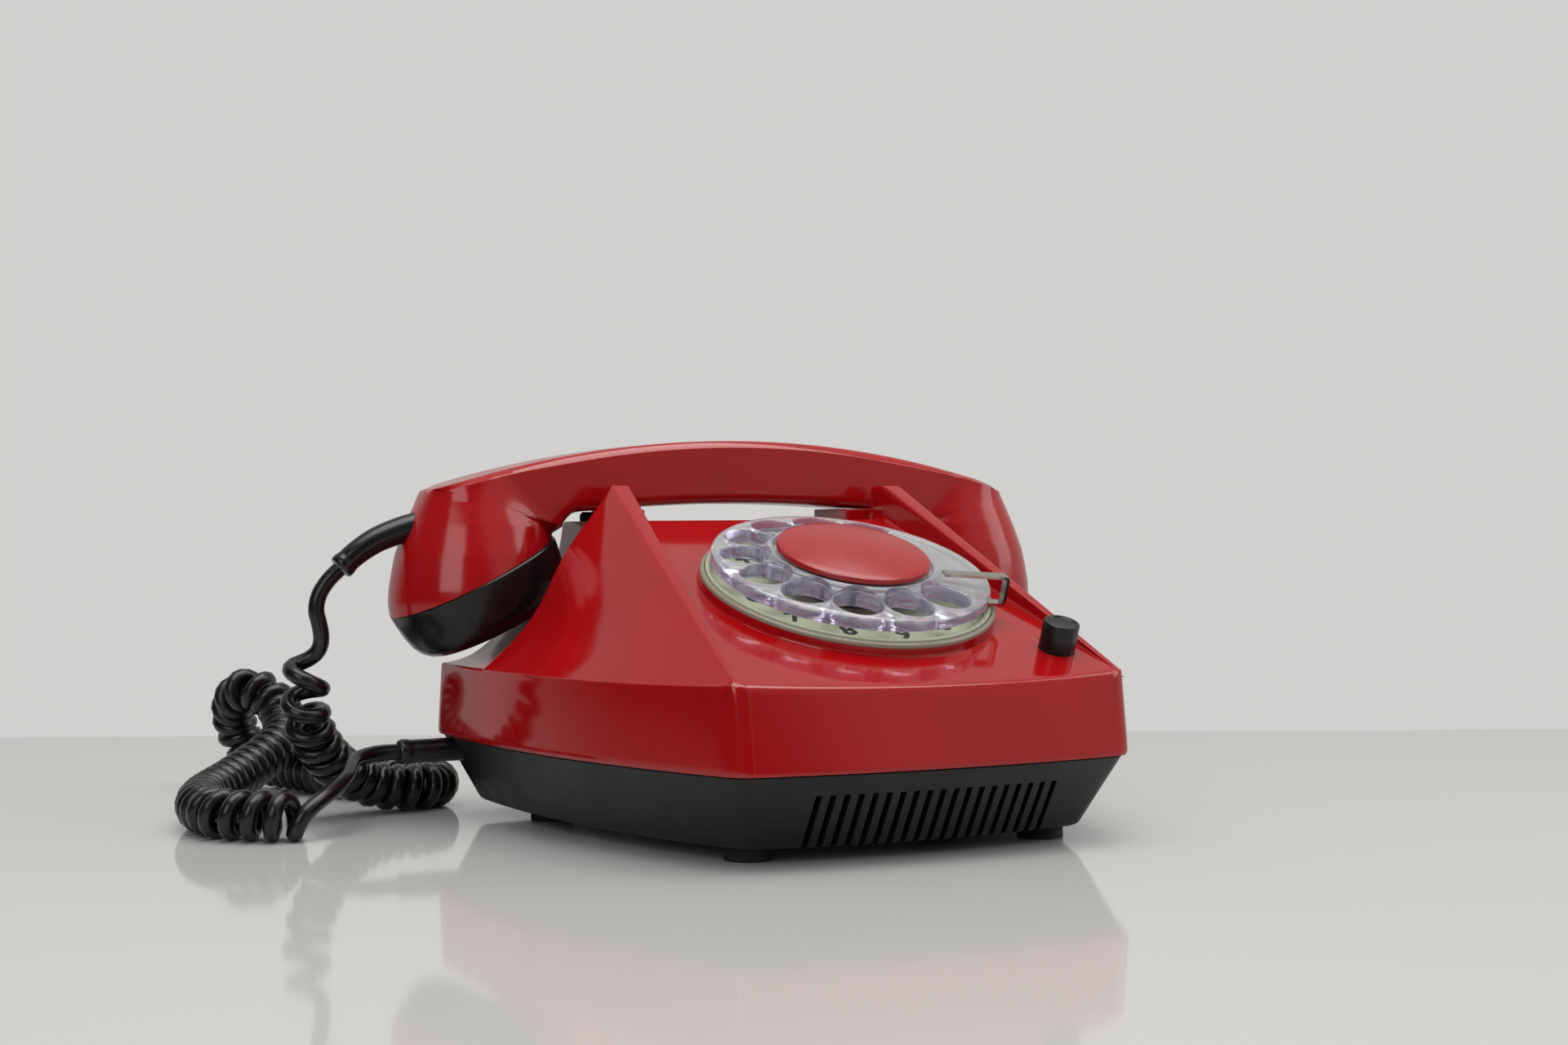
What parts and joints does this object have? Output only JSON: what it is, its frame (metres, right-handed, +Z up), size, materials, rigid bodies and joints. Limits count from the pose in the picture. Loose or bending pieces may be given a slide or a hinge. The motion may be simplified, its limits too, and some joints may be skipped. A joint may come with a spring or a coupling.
{
  "type": "corded rotary-dial desk telephone",
  "caption": "Red desk telephone with a clear rotary finger wheel, a black base, a handset on its cradle and a curly black handset cord.",
  "frame": {"origin": "on the table, under the middle of the telephone and its handset, measured without the cord", "axes": "+X along the handset, towards its earpiece; +Y from the dial to the rear; +Z up"},
  "size_m": [0.2812, 0.2677, 0.1143],
  "materials": {
    "red_plastic": "glossy injection-moulded ABS",
    "black_plastic": "satin injection-moulded ABS",
    "black_rubber": "matt moulded rubber",
    "cream_plastic": "satin moulded plastic",
    "bezel": "satin grey-brown moulded plastic",
    "clear_plastic": "clear moulded acrylic",
    "chrome": "polished nickel-plated strip",
    "steel": "zinc-plated steel",
    "brass": "machined brass",
    "board": "laminated board",
    "cord_pvc": "satin soft PVC cord"
  },
  "bodies": {
    "body": {"base_shell": "black_plastic", "feet": "black_rubber", "housing": "red_plastic", "housing_screws": "steel", "line_grommet": "black_rubber", "cord_clamp": "black_plastic", "circuit_board": "board", "board_screws": "steel", "speech_transformer": "steel", "capacitors": "cream_plastic", "terminal_block": "cream_plastic", "ringer_bracket": "steel", "gong_left": "brass", "gong_right": "brass", "gong_screws": "steel", "ringer_coils": "board", "hook_bracket": "steel", "hook_contacts": "brass", "dial_bezel": "bezel", "number_ring": "cream_plastic", "finger_stop": "chrome", "dial_frame": "bezel", "dial_bearing": "brass", "dial_back_plate": "steel", "dial_screws": "steel", "pulse_contacts": "brass", "governor_bracket": "steel", "button_collar": "black_plastic", "button_spring": "steel", "button_switch": "cream_plastic", "handset_lead": "cord_pvc", "coil_cord": "cord_pvc", "base_lead": "cord_pvc", "base_sleeve": "cord_pvc"},
    "handset": {"handset_shell": "red_plastic", "ear_cap": "black_plastic", "mouth_cap": "black_plastic", "receiver_capsule": "steel", "transmitter_capsule": "steel", "capsule_contacts": "brass", "handset_sleeve": "cord_pvc"},
    "dial": {"finger_wheel": "clear_plastic", "centre_cap": "red_plastic", "dial_shaft": "steel", "main_gear": "brass", "spring_drum": "steel"},
    "pulse_shaft": {"pulse_pinion": "brass"},
    "governor": {"governor_rotor": "brass"},
    "hook_switch": {"hook_plungers": "black_plastic", "hook_bar": "cream_plastic"},
    "button": {"button_cap": "black_plastic"},
    "ringer_clapper": {"clapper": "steel"}
  },
  "joints": [
    {"name": "handset_lift", "type": "slide", "parent": "body", "child": "handset", "axis": [0, 0, 1], "range_m": [0, 0.12]},
    {"name": "dial_turn", "type": "hinge", "parent": "body", "child": "dial", "pos_m": [0, -0.0248, 0.06739], "axis": [0, -0.3567, 0.9342], "range_deg": [-336, 0], "stiffness_Nm_per_rad": 0.01, "springref_deg": 28.65},
    {"name": "pulse_turn", "type": "hinge", "parent": "body", "child": "pulse_shaft", "pos_m": [0.02172, -0.0248, 0.06739], "axis": [0, -0.3567, 0.9342], "range_deg": [0, 1680]},
    {"name": "governor_turn", "type": "hinge", "parent": "body", "child": "governor", "pos_m": [-0.014, -0.01802, 0.04964], "axis": [0, 0.9342, 0.3567], "range_deg": [0, 3360]},
    {"name": "hook_rise", "type": "slide", "parent": "body", "child": "hook_switch", "axis": [0, 0, 1], "range_m": [0, 0.005]},
    {"name": "button_press", "type": "slide", "parent": "body", "child": "button", "axis": [0, 0.3567, -0.9342], "range_m": [0, 0.003], "stiffness_N_per_m": 300},
    {"name": "clapper_swing", "type": "hinge", "parent": "body", "child": "ringer_clapper", "pos_m": [0, 0.037, 0.038], "axis": [0, 0, 1], "range_deg": [-10, 10]}
  ],
  "couplings": [
    {"joint": "pulse_turn", "follows": "dial_turn", "ratio": -5},
    {"joint": "governor_turn", "follows": "dial_turn", "ratio": -10},
    {"joint": "hook_rise", "follows": "handset_lift", "ratio": 0.041667}
  ]
}
